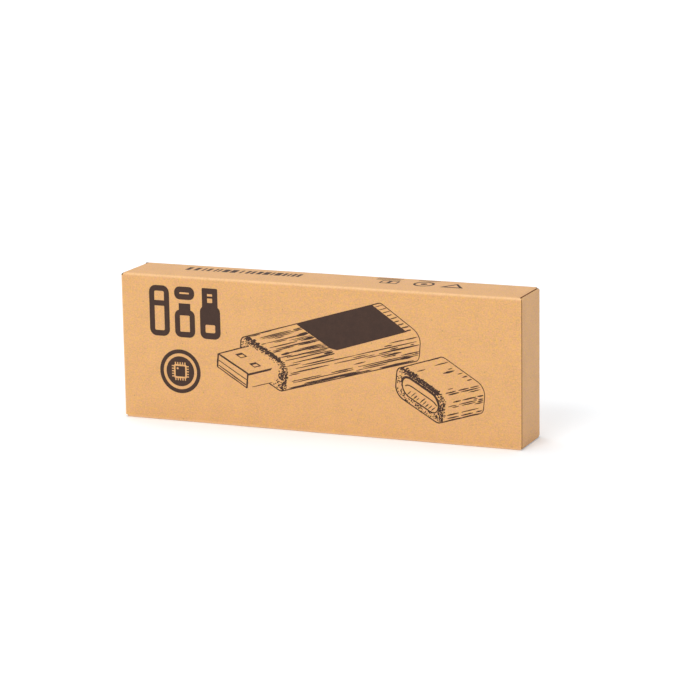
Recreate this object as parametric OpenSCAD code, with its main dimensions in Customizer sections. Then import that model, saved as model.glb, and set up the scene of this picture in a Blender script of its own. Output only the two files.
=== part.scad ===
// A bamboo flash drive with a pull-off cap, packed in a folded kraft carton with a tuck
// closure at each end. X runs along the carton, the printed front panel faces -Y, and the
// carton stands on its long narrow side. The origin is under the middle of its base.

/* [Carton] */
// Length of the carton, from the left end to the right end
carton_w = 100; // [100:0.5:104]
// Depth of the carton, from the front panel to the back panel
carton_d = 14; // [14:0.25:15]
// Height of the carton as it stands on its long side
carton_h = 35; // [35:0.5:38]
// Thickness of the kraft board
board = 0.4; // [0.35:0.05:0.5]
// Outer radius of the folded long edges
crease_r = 0.8; // [0.6:0.1:1]

/* [End closures] */
// Length of the tab that tucks behind the far panel
tuck_l = 6.2; // [5:0.1:6.2]
// Angle by which the tucked tab leans into the carton
tuck_lean = 30; // [29:1:33]
// Length of the small dust flaps behind each closure
dust_l = 7; // [5:0.5:7]

/* [Drive] */
// Length of the bamboo body
body_l = 52.5; // [48:0.5:52.5]
// Length of the bamboo cap
cap_l = 16.9; // [15:0.1:16.9]
// Width of the body and the cap
drive_w = 19.5; // [18:0.5:19.5]
// Thickness of the body and the cap
drive_t = 10.8; // [10:0.1:10.8]
// Radius of the long edges
edge_r = 3.2; // [2:0.1:3.4]
// Length of the dark label plate
label_l = 29.5; // [20:0.5:30]

/* [Plug] */
// Width of the metal plug shell
plug_w = 12; // [12:0.05:12.1]
// Thickness of the metal plug shell
plug_t = 4.5; // [4.5:0.05:4.6]
// Length of plug that stands out of the body
plug_l = 12; // [11:0.5:12]

/* [Hidden] */
$fn = 48;

kraft = "#d9a86c";
bamboo = "#c99a5b";
label_brown = "#3a2c26";
steel = "#c4c6c8";
gold = "#d8b04a";
black_plastic = "#26272a";
white_plastic = "#e9e6de";
board_green = "#1f6b45";

// Carton: where the creases and the flap planes lie
half_w = carton_w / 2;
half_d = carton_d / 2;
mid_h = carton_h / 2;
half_board = board / 2;
roll_gap = 0.05;                                  // air between a crease roll and its panel
flap_recess = 0.3;                                // how far a closure sits behind the raw edges
flap_x = half_w - flap_recess - half_board;       // middle plane of a closed end flap
dust_x = flap_x - board - 0.1;                    // middle plane of a closed dust flap
hinge_y = half_d - half_board;                    // crease of the right end flap
tab_y = -half_d + board + 0.45;                   // crease between the end flap and its tab
// Edge of the end flap, where it just clears the leaning tab's crease
flap_end_y = tab_y + half_board * (1 / cos(tuck_lean) + tan(tuck_lean)) + roll_gap;
dust_z = carton_h - half_board;                   // crease of an upper dust flap
flap_inset = 0.4;                                // from the carton's edge to the flap's edge
flap_h = carton_h - 2 * flap_inset;
glue_flap_w = 9.6;
glue_flap_inset = 3;                              // the glue flap stops short of both ends

// Tuck tab outline, along the tab and across it
tab_root = 1.3;
tab_root_half = 15.2;
tab_shoulder = 2.6;
tab_half = 9.2;
tab_corner = 2;

// Dust flap outline, across the carton
dust_front = -half_d + 2.1;
dust_back = half_d - 1.1;
dust_tip_front = -half_d + 2.7;
dust_tip_back = half_d - 4.8;
dust_step = 0.9;

// Drive: where it lies in the carton
end_space = 7;                                    // left free at each end for the closures
drive_left = -half_w + end_space;
drive_face = drive_left + body_l;                 // the body's end face, where the plug comes out
drive_y = -0.8;
drive_z = mid_h + 0.25;
cap_gap = 0.1;
slip = 0.05;                                      // clearance round a part that is glued in

// Cradle: a folded card channel that holds the drive between two box rails
cradle_half = half_w - end_space;
rail_gap = 0.2;                                   // between the drive's side and a rail
rail_top = carton_h - board - 0.1;
rail_bottom = 2 * board + 0.05;
rail_front = -half_d + board + 0.15;
rail_back = half_d - board - 0.1;
channel_low = drive_z - drive_w / 2 - rail_gap;
channel_high = drive_z + drive_w / 2 + rail_gap;
web_y = drive_y + drive_t / 2 + 0.15;

// Core: the plastic carrier of the electronics, in two halves
core_w = 16.6;
core_t = 7;
core_l = body_l - 8;
core_wall = 0.7;
core_front = 3.2;                                 // solid front that holds the plug
cap_pocket = 13.9;
cap_mouth_w = 12.3;
cap_mouth_t = 5.6;

magnet_r = 0.8;
magnet_l = 2.4;
magnet_y = 7.2;
magnet_recess = 0.1;

// Plug
plug_wall = 0.3;
plug_corner = 0.6;
plug_tail = 6.75;                                 // length of shell inside the core
window = [2.5, 2];                                // latch windows, along and across the plug
window_x = 5.16;                                  // from the plug's front edge
window_y = 2.25;
tongue_top = -0.05;
pin_w = 1;
pin_t = 0.42;
pin_y = [-3.5, -1, 1, 3.5];

// Circuit board and what is on it
pcb_w = 13.6;
pcb_t = 0.8;
pcb_top = tongue_top + 0.05 - pin_t;
pcb_low = pcb_top - pcb_t;
pcb_front = -plug_tail - 0.1;
pcb_back = -core_l + core_wall + 1.8;
pin_tail = 2.8;                                   // length of a pin on the circuit board
pin_setback = [1, 2, 2, 1];                       // from the plug's front edge to each pin
tongue_gap = 0.1;                                 // between the tongue's side and the shell
lead_w = 0.22;
lead_t = 0.15;
memory_x = -24;
memory_size = [18.4, 12, 1];
controller_x = -17;
controller_size = [7, 7, 1];
crystal_x = -10;
crystal_size = [3.2, 2.5, 0.8];
passive_size = [1, 0.5, 0.45];

label_w = 12.8;
label_t = 0.3;
label_r = 1.2;
label_back = 3;                                   // from the body's far end to the label

// ---- Helpers ----

// Rectangle with true round corners, centred
module rounded_rect(w, h, r) {
    square([w - 2 * r, h], center = true);
    square([w, h - 2 * r], center = true);
    for (x = [-1, 1], y = [-1, 1])
        translate([x * (w / 2 - r), y * (h / 2 - r)]) circle(r);
}

// Strip with half-round ends, centred
module stadium(w, h) {
    square([w - h, h], center = true);
    for (x = [-1, 1]) translate([x * (w - h) / 2, 0]) circle(h / 2);
}

// A profile drawn in Y and Z, run along X
module along_x(from, to) {
    translate([from, 0, 0]) rotate([90, 0, 90]) linear_extrude(to - from) children();
}

// A box given by its lowest and highest corners
module block(low, high) {
    translate(low) cube(high - low);
}

// The drive's own frame: X out of the plug, Z through the label, origin in the end face
module drive_frame() {
    translate([drive_face, drive_y, drive_z]) rotate([90, 0, 0]) children();
}

// The left end is the right end turned half round the carton's upright axis
module left_end() {
    rotate([0, 0, 180]) children();
}

// The lower flaps mirror the upper ones
module lower() {
    translate([0, 0, carton_h]) mirror([0, 0, 1]) children();
}

// ---- Carton ----

// Cross-section of the board that wraps round the carton
module sleeve_ring() {
    translate([0, mid_h]) difference() {
        rounded_rect(carton_d, carton_h, crease_r);
        rounded_rect(carton_d - 2 * board, carton_h - 2 * board, crease_r - board);
    }
}

// A wide panel with the creases above and below it. The right end has the raw edge.
module wide_panel() {
    along_x(-flap_x + half_board + roll_gap, half_w) intersection() {
        sleeve_ring();
        translate([-half_d, 0]) square([crease_r, carton_h]);
    }
}

// A narrow panel, which carries a dust flap at each end
module narrow_panel() {
    reach = dust_x - half_board - roll_gap;
    block([-reach, -half_d + crease_r, carton_h - board], [reach, half_d - crease_r, carton_h]);
}

module front_panel() {
    color(kraft) wide_panel();
}

module back_panel() {
    color(kraft) left_end() wide_panel();
}

module top_panel() {
    color(kraft) narrow_panel();
}

module bottom_panel() {
    color(kraft) lower() narrow_panel();
}

// Folded in from the back panel and glued to the bottom panel
module glue_flap() {
    reach = half_w - glue_flap_inset;
    inner = half_d - crease_r;
    color(kraft) block([-reach, inner - glue_flap_w, board], [reach, inner, 2 * board]);
}

// ---- End closures, drawn for the right end ----

module end_flap() {
    translate([flap_x, hinge_y, flap_inset]) cylinder(h = flap_h, r = half_board);
    block([flap_x - half_board, flap_end_y, flap_inset],
        [flap_x + half_board, hinge_y, flap_inset + flap_h]);
}

module tuck_tab() {
    translate([flap_x, tab_y, mid_h]) rotate([0, 0, 180 - tuck_lean]) {
        cylinder(h = 2 * tab_root_half, r = half_board, center = true);
        rotate([90, 0, 0]) linear_extrude(board, center = true) {
            polygon([[0, -tab_root_half], [tab_root, -tab_root_half], [tab_shoulder, -tab_half],
                [tab_shoulder, tab_half], [tab_root, tab_root_half], [0, tab_root_half]]);
            translate([0, -tab_half]) square([tuck_l - tab_corner, 2 * tab_half]);
            translate([0, -tab_half + tab_corner]) square([tuck_l, 2 * (tab_half - tab_corner)]);
            for (side = [-1, 1])
                translate([tuck_l - tab_corner, side * (tab_half - tab_corner)]) circle(tab_corner);
        }
    }
}

module dust_flap() {
    translate([dust_x, dust_front, dust_z]) rotate([-90, 0, 0])
        cylinder(h = dust_back - dust_front, r = half_board);
    along_x(dust_x - half_board, dust_x + half_board)
        polygon([[dust_front, dust_z], [dust_back, dust_z], [dust_back, dust_z - dust_step],
            [dust_tip_back, dust_z - dust_l], [dust_tip_front, dust_z - dust_l]]);
}

module right_end_flap() {
    color(kraft) end_flap();
}

module right_tuck_tab() {
    color(kraft) tuck_tab();
}

module right_upper_dust_flap() {
    color(kraft) dust_flap();
}

module right_lower_dust_flap() {
    color(kraft) lower() dust_flap();
}

module left_end_flap() {
    color(kraft) left_end() end_flap();
}

module left_tuck_tab() {
    color(kraft) left_end() tuck_tab();
}

module left_upper_dust_flap() {
    color(kraft) left_end() dust_flap();
}

module left_lower_dust_flap() {
    color(kraft) left_end() lower() dust_flap();
}

// ---- Cradle ----

// A box rail of folded card, open at the back, between two heights
module rail(low, high) {
    along_x(-cradle_half, cradle_half) difference() {
        translate([rail_front, low]) square([rail_back - rail_front, high - low]);
        translate([rail_front + board, low + board])
            square([rail_back - rail_front, high - low - 2 * board]);
    }
}

module cradle_upper_rail() {
    color(kraft) rail(channel_high, rail_top);
}

module cradle_lower_rail() {
    color(kraft) rail(rail_bottom, channel_low);
}

module cradle_web() {
    color(kraft) block([-cradle_half, web_y, channel_low], [cradle_half, web_y + board, channel_high]);
}

// ---- Drive ----

module drive_section() {
    rounded_rect(drive_w, drive_t, edge_r);
}

module core_section(grow) {
    stadium(core_w + 2 * grow, core_t + 2 * grow);
}

module label_outline(grow) {
    rounded_rect(label_l + 2 * grow, label_w + 2 * grow, label_r + grow);
}

module at_label() {
    translate([-body_l + label_back + label_l / 2, 0, drive_t / 2 - label_t]) children();
}

module magnet_pair(from, length, r) {
    for (side = [-1, 1])
        translate([from, side * magnet_y, 0]) rotate([0, 90, 0]) cylinder(h = length, r = r);
}

module body_block() {
    color(bamboo) drive_frame() difference() {
        along_x(-body_l, 0) drive_section();
        along_x(-core_l - slip, 1) core_section(slip);
        at_label() linear_extrude(1) label_outline(slip);
    }
}

module label_plate() {
    color(label_brown) drive_frame() at_label() linear_extrude(label_t) label_outline(0);
}

// One half of the plastic core, above or below the middle plane
module core_half(side) {
    intersection() {
        difference() {
            along_x(-core_l, 0) core_section(0);
            along_x(-core_l + core_wall, -core_front) core_section(-core_wall);
            along_x(-core_front - 1, 1)
                square([plug_w + 2 * slip, plug_t + 2 * slip], center = true);
            magnet_pair(-magnet_l - 2 * magnet_recess, 2 * magnet_l, magnet_r + slip);
        }
        translate([-core_l, -core_w, side > 0 ? 0 : -core_t]) cube([core_l, 2 * core_w, core_t]);
    }
}

module core_upper_shell() {
    color(white_plastic) drive_frame() core_half(1);
}

module core_lower_shell() {
    color(white_plastic) drive_frame() core_half(-1);
}

module body_magnets() {
    color(steel) drive_frame() magnet_pair(-magnet_l - magnet_recess, magnet_l, magnet_r);
}

// The tinned steel shell of the plug, with its latch windows and two solder legs
module plug_shell() {
    leg_l = 2.4;
    color(steel) drive_frame() {
        difference() {
            along_x(-plug_tail, plug_l) rounded_rect(plug_w, plug_t, plug_corner);
            along_x(-plug_tail - 1, plug_l + 1)
                rounded_rect(plug_w - 2 * plug_wall, plug_t - 2 * plug_wall, plug_corner - plug_wall);
            for (side = [-1, 1])
                translate([plug_l - window_x - window[0] / 2, side * window_y, 0])
                    cube([window[0], window[1], 2 * plug_t], center = true);
        }
        for (side = [0, 1]) mirror([0, side, 0])
            block([-plug_tail - leg_l, plug_w / 2 - plug_wall, pcb_top], [-plug_tail, plug_w / 2, 1]);
    }
}

module pins(grow) {
    for (n = [0 : 3])
        block([pcb_front - pin_tail, pin_y[n] - pin_w / 2 - grow, pcb_top],
            [plug_l - pin_setback[n], pin_y[n] + pin_w / 2 + grow, pcb_top + pin_t]);
}

module plug_tongue() {
    width = plug_w - 2 * (plug_wall + tongue_gap);
    color(black_plastic) drive_frame() difference() {
        block([-plug_tail + 0.2, -width / 2, -plug_t / 2 + plug_wall + 0.02],
            [plug_l - 0.4, width / 2, tongue_top]);
        pins(0.02);
    }
}

module contact_pins() {
    color(gold) drive_frame() pins(0);
}

module circuit_board() {
    color(board_green) drive_frame()
        block([pcb_back, -pcb_w / 2, pcb_low], [pcb_front, pcb_w / 2, pcb_top]);
}

// A chip package that stands on the board, with rows of leads along X, and along Y if square
module chip(size, rows, pitch, square_leads) {
    stand = 0.1;
    translate([-size[0] / 2, -size[1] / 2, stand]) cube(size);
    for (turn = square_leads ? [0, 1] : [0], n = [0 : rows - 1], end = [-1, 1])
        rotate([0, 0, 90 * turn])
            translate([end * (size[0] / 2 + 0.2), (n - (rows - 1) / 2) * pitch, 0])
                translate([-0.4, -lead_w / 2, 0]) cube([0.8, lead_w, lead_t + stand]);
}

module memory_chip() {
    color(black_plastic) drive_frame() translate([memory_x, 0, pcb_top])
        chip(memory_size, 24, 0.48, false);
}

module controller_chip() {
    color(black_plastic) drive_frame() translate([controller_x, 0, pcb_low]) mirror([0, 0, 1])
        chip(controller_size, 12, 0.5, true);
}

// A plain part, centred on a place on the board
module on_board(x, y, z, size) {
    translate([x - size[0] / 2, y - size[1] / 2, z]) cube(size);
}

module crystal() {
    color(steel) drive_frame() on_board(crystal_x, 0, pcb_low - crystal_size[2], crystal_size);
}

// Chip capacitors and resistors, on the far end of the board and round the controller
module passives() {
    color("#b08d62") drive_frame() {
        for (n = [-2 : 2]) on_board(pcb_back + 1.6, n * 2.2, pcb_top, passive_size);
        for (x = [-20, -17, -14], y = [-5.4, 5.4]) on_board(x, y, pcb_low - passive_size[2], passive_size);
    }
}

// ---- Cap ----

module cap_block() {
    color(bamboo) drive_frame() difference() {
        along_x(cap_gap, cap_gap + cap_l) drive_section();
        along_x(-1, cap_pocket + slip) core_section(slip);
    }
}

module cap_liner() {
    color(white_plastic) drive_frame() difference() {
        along_x(cap_gap + slip, cap_pocket) core_section(0);
        along_x(-1, cap_pocket - core_wall) square([cap_mouth_w, cap_mouth_t], center = true);
        magnet_pair(-1, 1 + cap_gap + magnet_l + 2 * magnet_recess, magnet_r + slip);
    }
}

module cap_magnets() {
    color(steel) drive_frame() magnet_pair(cap_gap + magnet_recess, magnet_l, magnet_r);
}

front_panel();
back_panel();
top_panel();
bottom_panel();
glue_flap();
right_end_flap();
right_tuck_tab();
right_upper_dust_flap();
right_lower_dust_flap();
left_end_flap();
left_tuck_tab();
left_upper_dust_flap();
left_lower_dust_flap();
cradle_web();
cradle_upper_rail();
cradle_lower_rail();
body_block();
label_plate();
core_upper_shell();
core_lower_shell();
body_magnets();
plug_shell();
plug_tongue();
contact_pins();
circuit_board();
memory_chip();
controller_chip();
crystal();
passives();
cap_block();
cap_liner();
cap_magnets();
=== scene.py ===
"""Looks for a bamboo flash drive in its folded kraft carton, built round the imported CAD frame.

Lengths in this script are millimetres until a mesh is made. MM turns them into metres.
"""
import math
import random

import bmesh
import bpy
from mathutils import Matrix, Vector
from mathutils.geometry import delaunay_2d_cdt
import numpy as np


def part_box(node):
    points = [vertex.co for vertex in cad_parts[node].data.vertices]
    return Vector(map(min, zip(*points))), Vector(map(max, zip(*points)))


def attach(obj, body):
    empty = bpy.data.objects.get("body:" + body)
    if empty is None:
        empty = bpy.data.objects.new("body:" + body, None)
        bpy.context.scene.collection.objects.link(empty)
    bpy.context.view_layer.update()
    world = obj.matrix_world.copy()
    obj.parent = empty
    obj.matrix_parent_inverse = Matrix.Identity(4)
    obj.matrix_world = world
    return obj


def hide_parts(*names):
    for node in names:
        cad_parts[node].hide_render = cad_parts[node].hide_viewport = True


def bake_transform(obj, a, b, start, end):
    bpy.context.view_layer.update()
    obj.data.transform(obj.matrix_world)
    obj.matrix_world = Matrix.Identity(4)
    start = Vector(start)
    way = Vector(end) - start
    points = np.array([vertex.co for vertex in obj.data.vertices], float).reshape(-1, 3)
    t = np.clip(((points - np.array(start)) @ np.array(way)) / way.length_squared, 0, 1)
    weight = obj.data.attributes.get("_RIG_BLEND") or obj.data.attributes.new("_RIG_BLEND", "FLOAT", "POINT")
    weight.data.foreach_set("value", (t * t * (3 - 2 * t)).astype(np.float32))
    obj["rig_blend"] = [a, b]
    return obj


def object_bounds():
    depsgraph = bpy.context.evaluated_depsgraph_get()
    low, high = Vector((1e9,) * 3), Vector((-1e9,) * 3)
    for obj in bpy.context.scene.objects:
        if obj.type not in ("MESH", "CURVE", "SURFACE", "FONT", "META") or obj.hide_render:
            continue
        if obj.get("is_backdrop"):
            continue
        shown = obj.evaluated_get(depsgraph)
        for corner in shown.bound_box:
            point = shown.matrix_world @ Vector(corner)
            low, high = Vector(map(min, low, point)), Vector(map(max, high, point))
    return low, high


MM = 0.001
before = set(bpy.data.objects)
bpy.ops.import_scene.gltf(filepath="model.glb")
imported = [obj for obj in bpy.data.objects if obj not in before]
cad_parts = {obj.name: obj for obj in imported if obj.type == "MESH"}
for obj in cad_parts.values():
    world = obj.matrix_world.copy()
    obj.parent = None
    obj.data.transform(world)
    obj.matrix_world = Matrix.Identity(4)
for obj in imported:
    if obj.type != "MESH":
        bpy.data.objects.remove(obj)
cad_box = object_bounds()


def corners(node):
    """Lowest and highest corner of a CAD node, in millimetres."""
    low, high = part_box(node)
    return low / MM, high / MM


# ---- sizes, from the frame

FRONT_LOW, FRONT_HIGH = corners("front_panel")
TOP_LOW, TOP_HIGH = corners("top_panel")
FLAP_LOW, FLAP_HIGH = corners("right_end_flap")
TAB_LOW, _ = corners("right_tuck_tab")
DUST_LOW, DUST_HIGH = corners("right_upper_dust_flap")
GLUE_LOW, GLUE_HIGH = corners("glue_flap")
UPPER_RAIL = corners("cradle_upper_rail")
LOWER_RAIL = corners("cradle_lower_rail")
WEB = corners("cradle_web")
BODY = corners("body_block")
CAP = corners("cap_block")
PLUG = corners("plug_shell")

HALF = (TOP_HIGH.z - TOP_LOW.z) / 2  # half the board's thickness
WIDE = FRONT_HIGH.x  # half the carton's length
DEEP = cad_box[1].y / MM  # half its depth
TALL = FRONT_HIGH.z
FOLD_R = FRONT_HIGH.y - FRONT_LOW.y  # outer radius of the long folds
FLAP_X = (FLAP_LOW.x + FLAP_HIGH.x) / 2  # middle plane of the closed end flap
HINGE_Y = DEEP - HALF
TAB_Y = TAB_LOW.y + HALF
TAB_LEAN = math.radians(30)  # how far the tab slants off the carton's length
TAB_LENGTH = 6.2
DUST_X = (DUST_LOW.x + DUST_HIGH.x) / 2
DUST_Z = TALL - HALF
BODY_L = BODY[1].x - BODY[0].x
CAP_L = CAP[1].x - CAP[0].x
DRIVE_W = BODY[1].z - BODY[0].z
DRIVE_T = BODY[1].y - BODY[0].y
EDGE_R = 3.2  # rounding of the drawn drive's long edges
PLUG_W = PLUG[1].z - PLUG[0].z
PLUG_T = PLUG[1].y - PLUG[0].y
PLUG_OUT = PLUG[1].x - BODY[1].x

# ---- node materials


class Nodes:
    """A short way to build a material or a world: most calls add a node and return its main output."""

    def __init__(self, name, kind="materials", shader="Principled BSDF"):
        self.owner = getattr(bpy.data, kind).new(name)
        self.owner.use_nodes = True
        self.tree = self.owner.node_tree
        self.shader = self.tree.nodes[shader]

    def feed(self, node, values):
        """Links or sets a node's sockets. A colour of three numbers gets its alpha."""
        for key, value in values.items():
            socket = node.inputs[key]
            if isinstance(value, bpy.types.NodeSocket):
                self.tree.links.new(value, socket)
            else:
                socket.default_value = (*value, 1) if socket.type == "RGBA" else value

    def node(self, kind, inputs=None, output=0, **settings):
        made = self.tree.nodes.new("ShaderNode" + kind)
        for key, value in settings.items():
            setattr(made, key, value)
        self.feed(made, inputs or {})
        return made.outputs[output]

    def place(self):
        return self.node("TexCoord", output="Object")

    def shifted(self, vector, x, y):
        return self.node("VectorMath", {0: vector, 1: (x, y, 0)}, operation="ADD")

    def stretch(self, vector, scale, turn=0.0):
        return self.node("Mapping", {"Vector": vector, "Scale": scale, "Rotation": (0, 0, turn)})

    def noise(self, vector, scale, detail=3.0, rough=0.55):
        return self.node("TexNoise", {"Vector": vector, "Scale": scale, "Detail": detail,
                                      "Roughness": rough})

    def cells(self, vector, scale, feature="F1"):
        return self.node("TexVoronoi", {"Vector": vector, "Scale": scale}, "Distance", feature=feature)

    def ramp(self, value, low, high, to_low=0.0, to_high=1.0):
        return self.node("MapRange", {0: value, 1: low, 2: high, 3: to_low, 4: to_high})

    def math(self, operation, a, b=0.0, c=0.0):
        return self.node("Math", {0: a, 1: b, 2: c}, operation=operation)

    def split(self, vector):
        """The x, y and z of a vector."""
        return self.node("SeparateXYZ", {0: vector}).node.outputs

    def mix(self, share, a, b):
        """Two colours mixed. A colour mix has its colours at 6 and 7, and its result at 2."""
        return self.node("Mix", {0: share, 6: a, 7: b}, output=2, data_type="RGBA")

    def stain(self, colour, value, low, high, share, tone):
        """The colour, turned towards tone by up to share as value goes from low to high."""
        return self.mix(self.ramp(value, low, high, 0.0, share), colour, tone)

    def finish(self, colour, roughness, height=None, depth=0.0, **others):
        """Feeds the shader and returns the material. depth is the bump's, in mm."""
        self.feed(self.shader, {"Base Color": colour, "Roughness": roughness})
        if height is not None:
            bump = self.node("Bump", {"Height": height, "Distance": depth * MM, "Strength": 1.0})
            self.feed(self.shader, {"Normal": bump})
        self.feed(self.shader, {key.replace("_", " "): value for key, value in others.items()})
        return self.owner


def times(tone, *factors):
    """A tone with its red, green and blue multiplied, by one factor each or by one for all."""
    return [c * factors[i % len(factors)] for i, c in enumerate(tone)]


def kraft_board(name, tone, crease_rubbed_and_highlight_tone):
    """Uncoated kraft board: cloudy pulp, fine grain, long fibres, dark specks, and paler folds, partly
    rubbed board and partly a painted highlight.
    """
    n = Nodes(name)
    flat = n.node("Attribute", output="Vector", attribute_name="flat")
    crease = n.node("Attribute", output="Fac", attribute_name="crease")
    cloud = n.noise(flat, 0.22, 4, 0.6)
    pulp = n.noise(flat, 1.5, 5, 0.65)
    tooth = n.noise(flat, 7.0, 3, 0.6)
    colour = n.stain(times(tone, 0.92), cloud, 0.35, 0.65, 1.0, times(tone, 1.055))
    colour = n.stain(colour, pulp, 0.44, 0.64, 1.0, times(tone, 0.98, 0.85, 1.27))
    straw = n.noise(n.shifted(flat, 53, 17), 1.25, 4, 0.6)
    colour = n.stain(colour, straw, 0.48, 0.66, 1.0, times(tone, 1.07, 1.08, 0.72))
    grain = n.noise(flat, 3.0, 3, 0.65)
    colour = n.stain(colour, grain, 0.52, 0.32, 0.45, times(tone, 0.70))
    colour = n.stain(colour, grain, 0.48, 0.68, 0.60, times(tone, 1.17))
    fibre = 0.0
    for turn, shift in ((0.35, 0.0), (1.45, 31.0), (2.5, 67.0)):
        strand = n.noise(n.stretch(n.shifted(flat, shift, shift), (0.55, 5.5, 1), turn), 1.0, 2, 0.5)
        fibre = n.math("MAXIMUM", fibre, n.ramp(strand, 0.655, 0.72))
    colour = n.stain(colour, fibre, 0.0, 1.0, 0.42, times(tone, 0.70))
    pale = n.noise(n.stretch(flat, (0.7, 6.0, 1), 0.9), 1.3, 2, 0.5)
    colour = n.stain(colour, pale, 0.66, 0.74, 0.30, (0.93, 0.66, 0.38))
    speck = n.cells(flat, 0.33)
    colour = n.stain(colour, speck, 0.075, 0.03, 0.55, times(tone, 0.42))
    colour = n.stain(colour, tooth, 0.3, 0.7, 0.22, times(tone, 0.80))
    # the folds turn paler: partly rubbed board, partly a painted highlight along each fold
    rubbed_and_highlight = n.math("MULTIPLY", crease, n.ramp(n.noise(flat, 1.6, 3), 0.25, 0.6, 0.45, 1.0))
    colour = n.mix(n.math("MULTIPLY", rubbed_and_highlight, 0.8), colour, crease_rubbed_and_highlight_tone)
    height = n.math("ADD", n.math("MULTIPLY", tooth, 0.5), n.math("MULTIPLY", fibre, 0.35))
    height = n.math("ADD", height, n.math("MULTIPLY", pulp, 0.6))
    return n.finish(colour, n.ramp(tooth, 0.3, 0.7, 0.62, 0.78), height, 0.045, Specular_IOR_Level=0.42,
                    Sheen_Weight=0.16, Sheen_Roughness=0.5)


def cut_edge_and_gap_shade(name, tone):
    """The cut edge of the board, where its plies show, darkened beyond a real cut as painted shade for the
    gap beside it.
    """
    n = Nodes(name)
    plies = n.noise(n.place(), 2600, 4, 0.7)
    colour = n.stain(times(tone, 0.72), plies, 0.35, 0.65, 1.0, tone)
    return n.finish(colour, 0.9, plies, 0.05, Specular_IOR_Level=0.05)


def printing_ink(name, tone):
    """Dark ink soaked into the board, thinner where the pulp stands up."""
    n = Nodes(name)
    place = n.place()
    tooth = n.noise(place, 5200, 3, 0.6)
    cloud = n.noise(place, 900, 4, 0.6)
    colour = n.stain(tone, tooth, 0.36, 0.72, 0.5, times(tone, 1.7))
    colour = n.stain(colour, cloud, 0.4, 0.7, 0.6, times(tone, 0.8))
    return n.finish(colour, 0.66, tooth, 0.02, Specular_IOR_Level=0.35)


def bamboo(name):
    """Laminated bamboo along X: fibre bundles that are streaks on the sides and dots on the ends."""
    n = Nodes(name)
    place = n.place()
    wander = n.noise(n.stretch(place, (60, 500, 500)), 1.0, 2)
    axis = n.split(place)
    y = n.math("MULTIPLY_ADD", wander, 0.0006, axis[1])
    z = n.math("MULTIPLY_ADD", wander, -0.0005, axis[2])
    strip_at = n.math("DIVIDE", n.math("ADD", z, 0.0007), 0.0041)
    strip = n.math("FLOOR", strip_at)
    within = n.math("SUBTRACT", strip_at, strip)
    shade = n.node("TexWhiteNoise", {"W": strip}, noise_dimensions="1D")
    grown = n.node("CombineXYZ", {0: n.math("MULTIPLY", axis[0], 0.035), 1: y, 2: z})
    bundle = n.cells(grown, 1750)
    fine = n.noise(n.stretch(place, (70, 2600, 2600)), 1.0, 4, 0.65)
    broad = n.noise(n.stretch(place, (18, 330, 330)), 1.0, 3, 0.6)
    colour = n.stain((0.56, 0.335, 0.145), shade, 0.0, 1.0, 1.0, (0.70, 0.465, 0.23))
    colour = n.stain(colour, broad, 0.3, 0.7, 0.7, (0.62, 0.39, 0.18))
    colour = n.stain(colour, bundle, 0.30, 0.10, 0.75, (0.285, 0.135, 0.05))
    colour = n.stain(colour, fine, 0.45, 0.75, 0.55, (0.36, 0.18, 0.07))
    edge = n.math("MINIMUM", within, n.math("SUBTRACT", 1.0, within))
    colour = n.stain(colour, edge, 0.03, 0.0, 0.65, (0.24, 0.11, 0.04))
    along = n.math("DIVIDE", n.math("MULTIPLY_ADD", shade, 0.057, axis[0]), 0.048)
    knot = n.math("ABSOLUTE", n.math("SUBTRACT", n.math("FRACT", along), 0.5))
    colour = n.stain(colour, knot, 0.022, 0.004, 0.6, (0.30, 0.15, 0.06))
    height = n.math("SUBTRACT", n.math("MULTIPLY", fine, 0.6), n.ramp(bundle, 0.3, 0.1, 0, 0.7))
    return n.finish(colour, n.ramp(fine, 0.3, 0.7, 0.36, 0.52), height, 0.03, Coat_Weight=0.12,
                    Coat_Roughness=0.3, Specular_IOR_Level=0.45)


def dark_label(name):
    """Dark stained veneer with a satin top coat."""
    n = Nodes(name)
    place = n.place()
    grain = n.noise(n.stretch(place, (110, 3200, 3200)), 1.0, 5, 0.7)
    cloud = n.noise(place, 260, 3)
    colour = n.stain((0.022, 0.012, 0.008), grain, 0.35, 0.7, 1.0, (0.075, 0.043, 0.028))
    colour = n.stain(colour, cloud, 0.4, 0.7, 0.4, (0.05, 0.03, 0.02))
    return n.finish(colour, n.ramp(grain, 0.3, 0.7, 0.32, 0.5), grain, 0.02, Coat_Weight=0.2,
                    Coat_Roughness=0.22)


def moulded_plastic(name, tone, roughness):
    """Moulded plastic with a fine spark-eroded texture and a little soiling."""
    n = Nodes(name)
    place = n.place()
    grit = n.noise(place, 2400, 3, 0.6)
    cloud = n.noise(place, 160, 4, 0.6)
    colour = n.stain(tone, cloud, 0.35, 0.7, 0.5, times(tone, 0.86))
    rough = n.ramp(cloud, 0.3, 0.7, roughness - 0.06, roughness + 0.08)
    return n.finish(colour, rough, grit, 0.012, Specular_IOR_Level=0.5)


def pressed_metal(name, tone, roughness, along=(40, 2200, 2200)):
    """Plated pressed metal, drawn along one way, with faint rubs and handling marks."""
    n = Nodes(name)
    place = n.place()
    drawn = n.noise(n.stretch(place, along), 1.0, 4, 0.6)
    smudge = n.noise(place, 210, 4, 0.65)
    colour = n.stain(tone, drawn, 0.3, 0.7, 0.6, times(tone, 0.84))
    rough = n.math("ADD", n.ramp(drawn, 0.3, 0.7, roughness - 0.05, roughness + 0.08),
                   n.ramp(smudge, 0.45, 0.7, 0, 0.1))
    return n.finish(colour, rough, drawn, 0.004, Metallic=1.0)


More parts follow.
